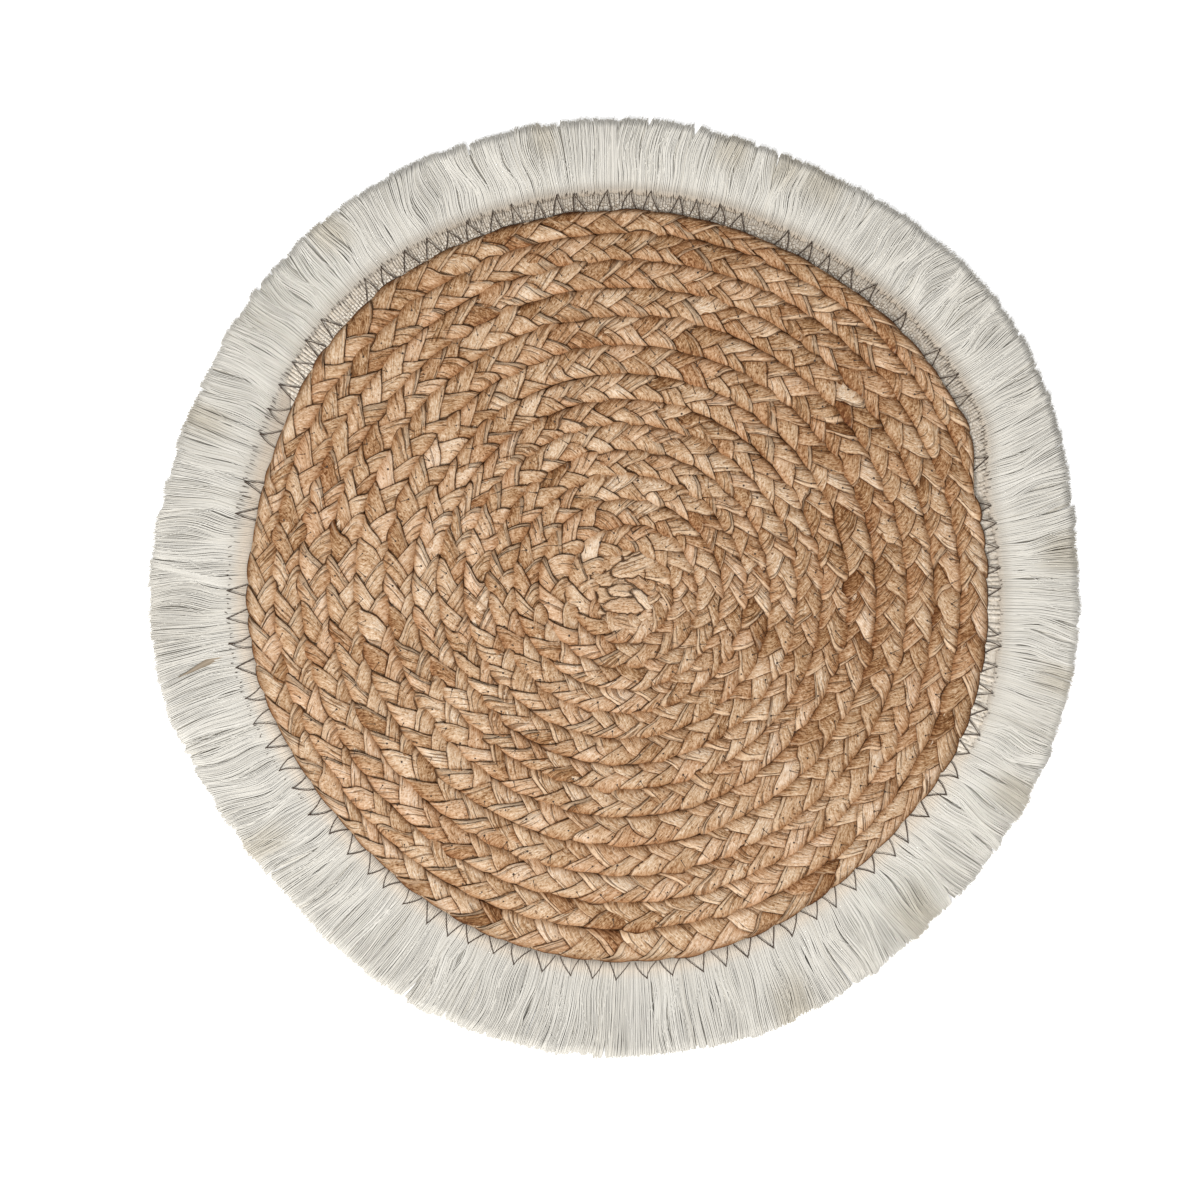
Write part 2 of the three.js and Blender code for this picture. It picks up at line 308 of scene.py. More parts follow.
def spiral_place(length):
    turn = turn_at(length)
    return (row_edge(turn) + row_edge(turn + 1.0)) / 2, angle_at(turn)


# Meshes from arrays.
def add_object(name, data):
    made = bpy.data.objects.new(name, data)
    bpy.context.scene.collection.objects.link(made)
    return made


def make_mesh(name, points, faces, material, values=None, uv=None):
    """points in mm and faces as arrays of corners. The named values and the pair uv are spread over
    the points."""
    shape = points.shape[:-1]
    mesh = bpy.data.meshes.new(name)
    mesh.vertices.add(points.size // 3)
    mesh.vertices.foreach_set("co", (points * MM).ravel())
    corners = np.concatenate([part.ravel() for part in faces])
    sizes = np.concatenate([np.full(len(part), part.shape[1]) for part in faces])
    mesh.loops.add(len(corners))
    mesh.loops.foreach_set("vertex_index", corners)
    mesh.polygons.add(len(sizes))
    mesh.polygons.foreach_set("loop_start", np.concatenate([[0], np.cumsum(sizes)[:-1]]))
    mesh.polygons.foreach_set("use_smooth", np.full(len(sizes), True))
    mesh.update(calc_edges=True)
    if uv is not None:
        layer = mesh.uv_layers.new(name="strand")
        places = np.stack([np.broadcast_to(part, shape).ravel() for part in uv], axis=-1)
        layer.data.foreach_set("uv", places[corners].ravel())
    for key, numbers in (values or {}).items():
        made = mesh.attributes.new(key, "FLOAT", "POINT")
        made.data.foreach_set("value", np.broadcast_to(np.asarray(numbers, float), shape).ravel())
    mesh.materials.append(material)
    piece = add_object(name, mesh)
    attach(piece, "root")
    return piece


def patch_faces(count, rows, columns, flip=False):
    """Quads for count separate patches of rows by columns points."""
    first = each(np.arange(count)) * rows * columns
    corner = first + np.arange(rows - 1)[None, :, None] * columns + np.arange(columns - 1)
    quads = np.stack([corner, corner + 1, corner + columns + 1, corner + columns], axis=-1)
    quads = quads.reshape(-1, 4)
    return quads[:, ::-1] if flip else quads


def ring_faces(index):
    """Quads between rings of points and the next ones."""
    here, there = index[..., :-1, :], index[..., 1:, :]
    quads = np.stack([here, there, np.roll(there, -1, axis=-1), np.roll(here, -1, axis=-1)], axis=-1)
    return quads.reshape(-1, 4)


def tubes(paths, radii, sides=THREAD_SIDES, flat=1.0):
    """Closed tubes along paths (n, points, 3) with radii (n, points). Returns points and faces."""
    count, length = paths.shape[:2]
    ahead = np.gradient(paths, axis=1)
    ahead /= np.linalg.norm(ahead, axis=-1, keepdims=True) + 1e-9
    aside = np.cross(ahead, [0.0, 0.0, 1.0])
    aside /= np.linalg.norm(aside, axis=-1, keepdims=True) + 1e-9
    above = np.cross(aside, ahead)
    turns = np.pi / 2 + 2 * np.pi * np.arange(sides) / sides
    up = flat * np.sin(turns)
    ring = np.cos(turns)[:, None] * aside[:, :, None] + up[:, None] * above[:, :, None]
    points = paths[:, :, None] + ring * radii[:, :, None, None]
    index = np.arange(count * length * sides).reshape(count, length, sides)
    caps = np.concatenate([index[:, 0], index[:, -1, ::-1]])
    return points, [ring_faces(index), caps]


def joined(*shapes):
    """Several pairs of points and faces as one pair."""
    points, faces = np.empty((0, 3)), []
    for more_points, more_faces in shapes:
        faces += [part + len(points) for part in more_faces]
        points = np.concatenate([points, more_points.reshape(-1, 3)])
    return points, faces


# Materials.
class Nodes:
    """A short way to write a node material."""

    def __init__(self, name):
        self.material = bpy.data.materials.new(name)
        self.material.use_nodes = True
        self.tree = self.material.node_tree
        self.shader = self.tree.nodes["Principled BSDF"]

    def add(self, kind, inputs=None, **settings):
        node = self.tree.nodes.new(kind)
        for key, value in settings.items():
            setattr(node, key, value)
        for key, value in (inputs or {}).items():
            self.put(node.inputs[key], value)
        return node

    def put(self, socket, value):
        if isinstance(value, bpy.types.NodeSocket):
            self.tree.links.new(value, socket)
        else:
            socket.default_value = value

    def math(self, operation, a, b=0.0, c=0.0):
        node = self.add("ShaderNodeMath", operation=operation)
        for socket, value in zip(node.inputs, (a, b, c)):
            self.put(socket, value)
        return node.outputs[0]

    def plus(self, a, b):
        return self.math("ADD", a, b)

    def less(self, a, b):
        return self.math("SUBTRACT", a, b)

    def times(self, a, b):
        return self.math("MULTIPLY", a, b)

    def larger(self, a, b):
        return self.math("MAXIMUM", a, b)

    def apart(self, a, b):
        return self.math("ABSOLUTE", self.less(a, b))

    def vary(self, shade, noise, size):
        """The shade moved up and down by a noise, over a range of that size."""
        return self.plus(shade, self.math("MULTIPLY_ADD", noise, size, -size / 2))

    def value(self, name):
        return self.add("ShaderNodeAttribute", attribute_name=name).outputs["Fac"]

    def span(self, value, low, high, new_low=0.0, new_high=1.0, kind="LINEAR"):
        return self.add("ShaderNodeMapRange", {
            "Value": value, "From Min": low, "From Max": high, "To Min": new_low, "To Max": new_high},
            interpolation_type=kind).outputs["Result"]

    def fade(self, value, low, high):
        """1 up to low, falling smoothly to 0 at high."""
        return self.span(value, low, high, 1.0, 0.0, "SMOOTHSTEP")

    def colours(self, share, stops):
        node = self.add("ShaderNodeValToRGB", {"Fac": share})
        ramp = node.color_ramp
        while len(ramp.elements) < len(stops):
            ramp.elements.new(0.5)
        for element, (place, colour) in zip(ramp.elements, stops):
            element.position = place
            element.color = (*colour, 1.0)
        return node.outputs["Color"]

    def blend(self, share, base, colour, kind="MIX"):
        node = self.add("ShaderNodeMix", data_type="RGBA", blend_type=kind)
        self.put(node.inputs["Factor"], share)
        for key, value in (("A", base), ("B", colour)):
            socket = [s for s in node.inputs if s.name == key and s.type == "RGBA"][0]
            self.put(socket, (*value, 1.0) if isinstance(value, tuple) else value)
        return [s for s in node.outputs if s.type == "RGBA"][0]

    def tint(self, share, base, colour):
        return self.blend(share, base, colour, "MULTIPLY")

    def strand(self, along, across, seed):
        """Texture places that stretch along a strand, shifted for each strand."""
        parts = self.add("ShaderNodeSeparateXYZ", {
            "Vector": self.add("ShaderNodeUVMap", uv_map="strand").outputs["UV"]})
        shift = self.times(seed, 97.0)
        place = self.add("ShaderNodeCombineXYZ", {
            "X": self.math("MULTIPLY_ADD", parts.outputs["X"], along, shift),
            "Y": self.times(parts.outputs["Y"], across),
            "Z": shift})
        return place.outputs["Vector"]

    def noise(self, place, scale=1.0, detail=3.0, roughness=0.55):
        return self.add("ShaderNodeTexNoise", {
            "Vector": place, "Scale": scale, "Detail": detail, "Roughness": roughness}).outputs["Fac"]

    def bump(self, height, distance, strength=1.0):
        return self.add("ShaderNodeBump", {
            "Height": height, "Distance": distance, "Strength": strength}).outputs["Normal"]

    def finish(self, **inputs):
        for key, value in inputs.items():
            self.put(self.shader.inputs[key.replace("_", " ")], value)
        return self.material


STRAW_SHADES = [
    (0.0, (0.13, 0.048, 0.013)),
    (0.25, (0.305, 0.157, 0.066)),
    (0.5, (0.505, 0.323, 0.185)),
    (0.75, (0.655, 0.478, 0.322)),
    (1.0, (0.8, 0.655, 0.51))]
# Broad patches, grain, fine grain and paper: scales along and across a strip, detail, roughness and
# how far each moves the shade.
STRAW_NOISES = [
    (0.1, 0.2, 1.0, 0.55, 0.5), (0.11, 1.25, 3.0, 0.6, 0.7),
    (0.5, 4.0, 3.0, 0.55, 1.16), (1.0, 1.3, 3.0, 0.65, 1.3)]
PINK_TINT = (0.98, 0.88, 0.83)
SLIVER_STRAW = (0.72, 0.54, 0.37)
CREASE_BROWN = (0.17, 0.075, 0.026)
SPECK_BROWN = (0.11, 0.042, 0.014)
PAINTED_BORDER_SHADE = (0.6, 0.43, 0.28)
RIM_ROLL_SHADE_TINT = (0.6, 0.56, 0.51)
PAINTED_EDGE_HIGHLIGHT = (0.8, 0.62, 0.44)
# Dark lines along the strips' borders: partly dark edges, partly painted shade in the gaps and seams.
LINE_AND_SHADE_BROWN = (0.058, 0.02, 0.005)


def straw_lines(m, seed, lead, near, rim):
    """The dark lines along a strip's borders, its fold and the seams, partly dark edges and partly painted
    shade in the gaps and creases there, and the paler line beside its edge, a painted highlight.
    """
    fold = m.value("fold")
    wobble = m.span(m.noise(m.strand(0.14, 0.14, seed), detail=1.0), 0.32, 0.66, 0.72, 1.75)
    bold_lead = m.times(lead, m.times(m.value("bold"), wobble))
    # Painted highlight: a pale line just beside the leading edge.
    edge_highlight = m.fade(m.apart(bold_lead, 0.95), 0.05, 0.55)
    # Dark lines at the leading edges, and painted shade along the edges of strips that lie over this one and
    # in the fold.
    dark_lines_and_shade = m.larger(m.fade(bold_lead, 0.08, 0.46), m.fade(m.times(near, wobble), 0.05, 0.4))
    dark_lines_and_shade = m.larger(dark_lines_and_shade, m.times(m.fade(m.apart(lead, fold), 0.05, 0.28), 0.75))
    # Noise that breaks the dark lines and their painted shade up in places.
    line_breakup = m.span(m.noise(m.strand(0.25, 0.25, seed), detail=1.0), 0.36, 0.58, 0.25, 0.97)
    # Painted shade along the seams joins the lines.
    return m.larger(m.times(dark_lines_and_shade, line_breakup), m.times(m.fade(rim, 0.24, 0.82), 0.92)), edge_highlight


def straw_material(name):
    """Dry flat straw, with painted shade near strip borders and seams and a painted highlight beside leading
    edges. lead, fold, side, end and rim are distances in mm to a strip's borders.
    """
    m = Nodes(name)
    seed, lead, rim = m.value("seed"), m.value("lead"), m.value("rim")
    near = m.math("MINIMUM", m.math("ABSOLUTE", m.value("side")), m.math("ABSOLUTE", m.value("end")))

    shade, noises = m.value("tone"), []
    for along, across, detail, roughness, size in STRAW_NOISES:
        noises.append(m.noise(m.strand(along, across, seed), detail=detail, roughness=roughness))
        shade = m.vary(shade, noises[-1], size)
    _, grain, fine, paper = noises
    base = m.tint(m.span(seed, 0.45, 1.0, 0.0, 0.75), m.colours(shade, STRAW_SHADES), PINK_TINT)
    base = m.blend(m.times(m.math("LESS_THAN", lead, m.value("fold")), 0.42), base, SLIVER_STRAW)

    crease = m.span(m.noise(m.strand(0.045, 1.0, seed), detail=1.0), 0.63, 0.69)
    base = m.blend(m.times(crease, 0.64), base, CREASE_BROWN)
    speck = m.span(m.noise(m.strand(0.8, 1.1, m.plus(seed, 0.5)), detail=0.0), 0.74, 0.8)
    base = m.blend(m.times(speck, 0.7), base, SPECK_BROWN)

    # Painted shade: darker within about 2 mm of where other strips cover this one, near the seams and near
    # its own leading edge.
    soft = m.larger(m.times(m.fade(near, 0.0, 2.0), 0.8), m.fade(rim, 0.4, 2.9))
    soft = m.larger(soft, m.times(m.fade(lead, 0.0, 1.2), 0.3))
    base = m.tint(m.times(soft, 0.8), base, PAINTED_BORDER_SHADE)
    # Painted shade on the outermost row's outer edge, where it rolls down.
    base = m.tint(m.value("rim_roll_shade"), base, RIM_ROLL_SHADE_TINT)

    dark_lines_and_shade, edge_highlight = straw_lines(m, seed, lead, near, rim)
    # Painted highlight beside the leading edges.
    base = m.blend(m.times(edge_highlight, 0.24), base, PAINTED_EDGE_HIGHLIGHT)
    # Dark border lines with painted shade in the gaps, creases and seams.
    base = m.blend(dark_lines_and_shade, base, LINE_AND_SHADE_BROWN)

    relief = m.plus(m.plus(m.times(grain, 0.6), m.times(fine, 0.35)), m.times(paper, 0.5))
    relief = m.less(m.less(relief, m.times(crease, 0.7)), m.times(dark_lines_and_shade, 0.6))
    m.shader.inputs["Specular IOR Level"].default_value = 0.12
    return m.finish(
        Base_Color=base, Roughness=m.span(grain, 0.3, 0.7, 0.5, 0.72), Normal=m.bump(relief, 0.00065))


def core_material():
    m = Nodes("plait_core")
    place = m.add("ShaderNodeTexCoord").outputs["Object"]
    noise = m.noise(place, scale=420.0, detail=3.0)
    # Dark brown: painted shade for wherever the core shows between strips.
    base = m.colours(noise, [(0.3, (0.055, 0.026, 0.013)), (0.7, (0.12, 0.062, 0.032))])
    return m.finish(Base_Color=base, Roughness=0.85, Normal=m.bump(noise, 0.0003))


def cotton_material():
    m = Nodes("cotton")
    slub = m.noise(m.strand(0.22, 1.0, m.value("seed")), detail=2.0)
    base = m.colours(m.vary(m.value("tone"), slub, 0.24), [
        (0.0, (0.56, 0.518, 0.44)),
        (0.3, (0.75, 0.716, 0.642)),
        (0.6, (0.82, 0.793, 0.732)),
        (1.0, (0.845, 0.824, 0.776))])
    # Painted shadow of the mat on the threads' roots.
    base = m.tint(m.value("root"), base, (0.56, 0.495, 0.43))
    base = m.tint(m.value("peach"), base, (1.0, 0.885, 0.78))
    base = m.tint(m.value("warm"), base, (0.78, 0.735, 0.65))
    # Painted shade: dims threads where the lamp lights them more round the rim, and the lowest threads in the
    # gaps; on the wisp, its darker colour.
    base = m.tint(m.value("dim"), base, (0.0, 0.0, 0.0))
    m.shader.inputs["Specular IOR Level"].default_value = 0.1
    return m.finish(Base_Color=base, Roughness=0.95)


def header_material():
    """The woven header, with painted shade in the small gaps round its loops where they show."""
    m = Nodes("cotton_header")
    place = m.add("ShaderNodeTexCoord").outputs["Object"]
    knots = m.noise(place, scale=900.0, detail=2.0)
    base = m.colours(knots, [(0.3, (0.7, 0.625, 0.52)), (0.7, (0.87, 0.815, 0.73))])
    cells = m.add("ShaderNodeTexVoronoi", {"Vector": place, "Scale": 700.0}, feature="DISTANCE_TO_EDGE")
    # Painted shade in the gaps round the loops.
    gap = m.times(m.fade(cells.outputs["Distance"], 0.03, 0.14), m.value("loops"))
    base = m.blend(gap, base, (0.34, 0.27, 0.2))
    # A darker header overall, plus painted shadow of the mat at the top.
    base = m.tint(m.value("root"), base, (0.6, 0.535, 0.47))
    m.shader.inputs["Specular IOR Level"].default_value = 0.1
    relief = m.less(knots, m.times(gap, 0.8))
    return m.finish(Base_Color=base, Roughness=0.95, Normal=m.bump(relief, 0.0004, 0.8))


def thread_material():
    m = Nodes("dark_thread")
    twist = m.add("ShaderNodeTexWave", {
        "Vector": m.strand(1.0, 2.0, m.value("seed")), "Scale": 1.2, "Distortion": 0.4}).outputs["Fac"]
    base = m.colours(twist, [(0.1, (0.04, 0.022, 0.013)), (0.9, (0.11, 0.066, 0.042))])
    return m.finish(Base_Color=base, Roughness=0.7, Normal=m.bump(twist, 0.0001))


# The strips of the plait. Outer strips come round the row's outer edge and run inward and on; inner
# strips mirror them. They lie like shingles, each strip's leading edge on top of the strip before.
# LIP is a share of a strip's width and REACH of the row's. SLANT turns sizes along the row into sizes
# across a strip.
LIP = 0.014
REACH = 0.86
SLANT = 0.6

# Where a strip's points lie: along it as shares of the row's width, and behind its fold as shares of
# its own width. The underside has fewer.
ALONG = np.array([0.0, 0.022, 0.06, 0.11, 0.18, 0.28, 0.39, 0.5, 0.61, 0.73, REACH])
ALONG_UNDER = np.array([0.0, 0.06, 0.16, 0.4, 0.64, REACH])
BEHIND_FOLD = [0.32, 0.47, 0.62, 0.78, 0.98]
BEHIND_FOLD_UNDER = [0.5, 0.98]


def at_right(x, y):
    """1 at the right of the mat, where the strips' shapes differ and they get painted light and shade, fading
    out round it.
    """
    away = degrees_from(np.degrees(np.arctan2(y, x)), 2.0)
    return np.exp(-(away / 34.0) ** 2) * smooth(np.hypot(x, y), 35.0, 80.0)


class Family:
    """The strips that start from one edge of the row, in the order in which they were plaited."""

    def __init__(self, start, pitch, rng):
        count = len(start)
        right = at_right(*plan(*spiral_place(start)))
        self.start = start
        self.pitch = pitch
        self.advance = pitch * rng.normal(1.3, 0.145, count)
        self.bow = pitch * (rng.normal(-0.05, 0.085, count) - 0.08 * right)
        self.twist = pitch * rng.normal(0.0, 0.055, count)
        reach = np.linspace(0.0, REACH, 12)[:, None]
        index = np.arange(count - 1)
        widest = (self.lead(index + 1, reach) - self.lead(index, reach)).max(axis=0)
        self.wide = widest + 0.28 * pitch[:-1]

    def lead(self, index, reach):
        """Where a strip's leading edge is along the row, at a share of the row's width."""
        bent = self.bow[index] * np.sin(np.pi * reach / REACH)
        twisted = self.twist[index] * np.sin(2 * np.pi * reach / REACH)
        return self.start[index] + self.advance[index] * reach + bent + twisted


def plait_families(seed, lead_in=14.0, run_out=12.0):
    """The outer and the inner strips, from a little before the plait's end to a little past the eye."""
    rng = default_rng(seed)
    starts, pitches = [-lead_in], []
    while starts[-1] < PLAIT_LENGTH + run_out:
        turn = float(turn_at(max(starts[-1], 0.0)))
        pitches.append(float(np.interp(turn, [0.0, len(TURN_WIDTHS)], PITCHES)))
        starts.append(starts[-1] + pitches[-1] * rng.uniform(0.75, 1.25))
    start, pitch = np.array(starts[:-1]), np.array(pitches)
    outer = Family(start, pitch, rng)
    inner = Family(start + pitch * rng.normal(0.62, 0.07, len(pitch)), pitch, rng)
    return outer, inner


def strip_tones(rng, count, x, y, outer):
    """A shade for each strip: most are close to straw, a few are darker. Painted light and shade go on top:
    darker towards the top right as painted shade of the lamp's falloff, painted shade on the inner strips
    and painted light on the outer ones at the right, and painted shade on the rim at the top."""
    tone = np.clip(rng.normal(0.555, 0.105, count), 0.3, 0.9)
    dark = rng.random(count) < 0.012
    tone[dark] = rng.uniform(0.26, 0.36, dark.sum())
    # Painted shade: darker towards the top right, away from the lamp.
    tone -= 0.05 * (x + y) / 150.0
    # Painted shade on the inner strips and painted light on the outer ones at the right.
    tone += (0.04 if outer else -0.17) * at_right(x, y)
    # Painted shade on the outermost row at the top, which faces away from the lamp.
    tone -= 0.09 * smooth(np.hypot(x, y), 140.0, 150.0) * smooth(y, 70.0, 110.0)
    for dark_x, dark_y, shade in DARK_STRIPS:
        tone[np.argmin(np.hypot(x - dark_x, y - dark_y))] = shade
    return tone


def seam_riders(seed, start):
    """How far each strip rides up over the next row's edge, 0 to 1: most at the left and the middle."""
    rng = default_rng(seed)
    radius, angle = spiral_place(start)
    x, y = plan(radius, angle)
    at_left = smooth(-x - 0.6 * np.abs(y), -10.0, 60.0)
    many = 0.15 + 0.32 * np.maximum(at_left, 1.0 - smooth(radius, 40.0, 80.0))
    return np.where(rng.random(len(start)) < many, rng.uniform(0.65, 1.0, len(start)), 0.0)


def strip_sections(rng, count, body):
    """Where the points lie across each strip, how far each drops, and where the fold along the leading
    edge is. A third of the strips have one, and it is -1 on the others."""
    folded = rng.random(count) < 0.33
    fold = np.where(folded, rng.uniform(0.06, 0.19, count), 0.024)
    fold_drop = np.where(folded, rng.uniform(0.08, 0.2, count), 0.06)
    nought = np.zeros(count)
    front = np.stack([nought, nought + LIP, fold, fold + LIP, fold + 0.06], axis=1)
    across = np.concatenate([front, np.tile(body, (count, 1))], axis=1)
    drop = np.zeros_like(across)
    drop[:, :4] = np.stack([fold_drop + 0.5, fold_drop + 0.05, fold_drop, nought + 0.03], axis=1)
    return across[:, None, :], drop[:, None, :], np.where(folded, fold, -1.0)


def strip_piece(name, seed, families, outer, material, under=False):
    """One side's strips, each a patch of rows (along it) by columns (across it)."""
    rng = default_rng(seed)
    own, other = families if outer else families[::-1]
    count = int(np.searchsorted(own.start, PLAIT_LENGTH))
    index = each(np.arange(count))
    rows, body = (ALONG_UNDER, BEHIND_FOLD_UNDER) if under else (ALONG, BEHIND_FOLD)
    across, drop, fold = strip_sections(rng, count, body)
    along = rows[None, :, None]
    pitch, wide = own.pitch[index], own.wide[index]
    over = each(seam_riders(seed + 100, own.start[:count]))

    behind = across * wide
    length = own.lead(index, along) + behind
    to_side = own.lead(index + 1, along) - length
    to_end = other.lead(index if outer else index + 1, 1.0 - along) - length
    seen = np.clip(behind / np.maximum(to_side + behind, 1.0), 0.0, 1.0)
    turn = turn_at(length)
    in_rows = smooth(turn, *RIM_TURNS) if outer else 1.0

    bulge = each(rng.uniform(0.03, 0.14, count)) * mix(0.62, 1.0, in_rows) + 0.09 * over * in_rows
    bulge = bulge * np.sin(np.pi * seen) ** 0.6
    inset = round_rim(RIM_INSETS, angle_at(turn)) / TURN_WIDTHS[0]
    by_edge = 1.0 - smooth(along, 0.0, 0.3)
    share = along - (bulge - mix(inset, 0.0, in_rows)) * by_edge
    share = share + each(rng.normal(0, 0.01, count)) * by_edge
    share = share if outer else 1.0 - share

    sunk = SHINGLE / pitch * (own.advance[index] * along + behind + (0.0 if outer else 0.12) * pitch)
    height = PLAIT_THICKNESS + ROW_DOME * np.sin(np.pi * along) - sunk + CROWN * 4.0 * seen * (1.0 - seen)
    height = height + each(rng.normal(0, 0.1, count))
    height = height + each(rng.normal(0, 0.22, count)) * (seen - 0.5) - drop
    height = np.where(height < LOW_STRIPS, mix(LOW_STRIPS, height, 0.3), height)
    seam = SEAM_HEIGHT + over * RIDE_HEIGHT * np.sin(np.pi * seen) ** 0.5
    edge = mix(PLAIT_THICKNESS / 2, seam, in_rows) - 0.25 * across
    height = mix(edge, height, np.sqrt(1.0 - (1.0 - np.clip(along / ROLL_SHARE, 0.0, 1.0)) ** 2))
    if under:
        height = np.maximum(PLAIT_THICKNESS - height, 0.0)

    points = on_row(turn, share, height)
    x, y = (points[:, len(rows) // 2 - 1 if under else len(rows) // 2, 4, :2] - MIDDLE).T
    from_rim = np.clip(share, 0.0, 1.0) * TURN_WIDTHS[0]
    values = {
        "seed": each(rng.random(count)),
        "tone": each(strip_tones(rng, count, x, y, outer)),
        "lead": behind * SLANT,
        "fold": each(fold) * wide * SLANT,
        "side": to_side * SLANT,
        "end": to_end * SLANT,
        "rim": along * 11.0,
        # Width of the dark lines and their painted shade, wider on the inner strips at the right.
        "bold": each(rng.uniform(0.62, 1.45, count) * (1.0 if outer else 1.25 + 0.8 * at_right(x, y))),
        # Painted shade along the outermost row's outer edge.
        "rim_roll_shade": (1.0 - smooth(from_rim, 1.2, 5.0)) * (1.0 - smooth(turn, *RIM_TURNS)),
    }
    uv = (along * 18.0 + behind * 0.8, behind * SLANT)
    return make_mesh(name, points, [patch_faces(*height.shape, flip=outer != under)], material, values, uv)


def eye_places(x, y):
    """For each crumpled strip, how far points are from its middle, 1 at its border, and places on it."""
    far, places = [], []
    for number, (strip_x, strip_y, long, wide, heading, _, _) in enumerate(EYE_STRIPS):
        turn = math.radians(heading)
        u = (x - strip_x) * math.cos(turn) + (y - strip_y) * math.sin(turn)
        v = (y - strip_y) * math.cos(turn) - (x - strip_x) * math.sin(turn)
        bent = v + 0.25 * np.sin(u * 0.55 + strip_x) + 0.18 * np.sin(u * 1.3 + strip_y)
        far.append(np.hypot(u * 2.0 / (1.3 * long), bent * 2.0 / (1.22 * wide)))
        places.append([u + 40.0 * number, v])
    return np.stack(far), np.array(places)


def eye_piece(name, material, spacing, under=False):
    """The crumpled start of the plait: a patch of irregular domed strips inside the last seam."""
    steps = np.arange(-EYE_RADIUS, EYE_RADIUS + spacing, spacing)
    x, y = np.meshgrid(steps, steps)
    far, places = eye_places(-x if under else x, y)
    width, shade, level = np.array(EYE_STRIPS).T[[3, 5, 6]]
    width = each(width / 2.0)
    rank = each(level.argsort().argsort())
    first = np.where(far < 1.0, 1.0 + rank, -far).argmax(axis=0)
    from_border = np.abs(far - 1.0) * width
    own = np.take_along_axis(from_border, first[None], axis=0)[0]
    others = np.where(rank > rank[first, 0, 0], from_border, 9.0)
    lead = np.minimum(own, others.min(axis=0))
    radius = np.hypot(x, y)
    roll = np.sqrt(1.0 - smooth(radius, EYE_RADIUS - 3.0, EYE_RADIUS - 0.3) ** 2)
    height = 4.55 + 0.55 * level[first] + 0.75 * (1.0 - np.exp(-lead / 0.8))
    height = mix(SEAM_HEIGHT - 0.1, height, roll)
    if under:
        height = np.maximum(PLAIT_THICKNESS - height, 0.0)
    points = np.stack([x + MIDDLE[0], y + MIDDLE[1], height], axis=-1)
    faces = patch_faces(1, *x.shape, flip=under)
    inside = (radius.ravel() < EYE_RADIUS)[faces].all(axis=1)
    values = {
        "seed": first * 0.37 % 1.0, "tone": shade[first], "lead": lead, "fold": -9.0, "side": 9.0,
        "end": 9.0, "rim": EYE_RADIUS - radius, "bold": 0.95, "rim_roll_shade": 0.0}
    uv = np.take_along_axis(places, first[None, None], axis=0)[0]
    return make_mesh(name, points, [faces[inside]], material, values, uv)


def plait_face(ending, seed, families, material, eye_spacing, under=False):
    return [
        strip_piece("outer_strips" + ending, seed, families, True, material, under),
        strip_piece("inner_strips" + ending, seed + 1, families, False, material, under),
        eye_piece("eye_strips" + ending, material, eye_spacing, under)]


def core_piece(material):
    """The plait's hidden middle layer: a thin closed disc under the strips, dark brown so that gaps between
    them show painted shade.
    """
    turns = np.linspace(0.0, 1.0, 181)[:-1]
    shares = column(np.linspace(0.0, 1.0, 12)[1:])
    edge = row_edge(turns) - CORE_INSET
    ripple = 0.12 * np.cos(shares * len(TURN_WIDTHS) * 2 * np.pi)
    top = at(edge * shares, angle_at(turns), CORE_HIGH + ripple)
    low = at(edge * shares, angle_at(turns), CORE_LOW)
    hubs = np.array([[*MIDDLE, CORE_HIGH], [*MIDDLE, CORE_LOW]])
    points = np.concatenate([top.reshape(-1, 3), low[::-1].reshape(-1, 3), hubs])
    ring = np.arange(len(points) - 2).reshape(-1, len(turns))
    hub = np.full(len(turns), ring.size)
    fan = np.stack([hub, ring[0], np.roll(ring[0], -1)], -1)
    low_fan = np.stack([hub + 1, np.roll(ring[-1], -1), ring[-1]], -1)
    return make_mesh("plait_core", points, [ring_faces(ring), fan, low_fan], material)


# The fringe.
def header_share(angle):
    """How far the header shows: 1 where its ribs are seen, 0 where threads cover it."""
    return round_rim(HEADER_SHARES, angle)


def lean_of(angle):
    """How far the tips lean along the rim: apart at the partings, and by the table and the swirls."""
    parted = 0.0
    for place, lean, arc in PARTINGS:
        away = degrees_from(angle, place)
        parted = parted + np.tanh(away / 0.8) * lean * 0.8 * np.exp(-np.abs(away) / (arc * 0.5))
    wander = drift(default_rng(5), angle, 46, 1.7)
    return parted + round_rim(LEANS, angle) + wave_sum(SWIRLS, angle) + wander


def opening(reach, low, widest, closed):
    """How wide a gap is at a distance from the rim, as a share."""
    return smooth(reach, low, widest) * (1.0 - smooth(reach, widest, closed))


def opened(angle, swing, radius, reach, gaps):
    """Sideways push, in mm, on threads beside gaps that open and close along the threads."""
    push = np.zeros_like(swing)
    for place, low, widest, closed, half in gaps:
        middle = int(np.argmin(np.abs(reach.mean(axis=0) - widest)))
        now = angle + np.degrees(swing[:, middle] / radius[:, middle])
        away = degrees_from(now, place) * DEGREE * radius[:, middle]
        aside = np.sign(away) * half * np.exp(-np.abs(away) / 2.0)
        push = push + column(aside) * opening(reach, low, widest, closed)
    return push


def in_gaps(angle, radius, reach):
    """1 inside the gaps, where the lowest threads get painted shade."""
    shade = np.zeros_like(reach)
    for place, low, widest, closed, half in GAPS:
        away = degrees_from(angle, place) * DEGREE * radius
        inside = np.exp(-(away / (1.2 * half + 0.3)) ** 2)
        shade = np.maximum(shade, opening(reach, low, widest, closed) * inside)
    return shade


def small_gaps():
    rng = default_rng(6)
    for place in rng.uniform(0.0, 360.0, SMALL_GAP_COUNT):
        low = rng.uniform(6.0, 15.0)
        widest = low + rng.uniform(3.0, 8.0)
        yield place, low, widest, widest + rng.uniform(3.0, 8.0), rng.uniform(0.1, 0.38)


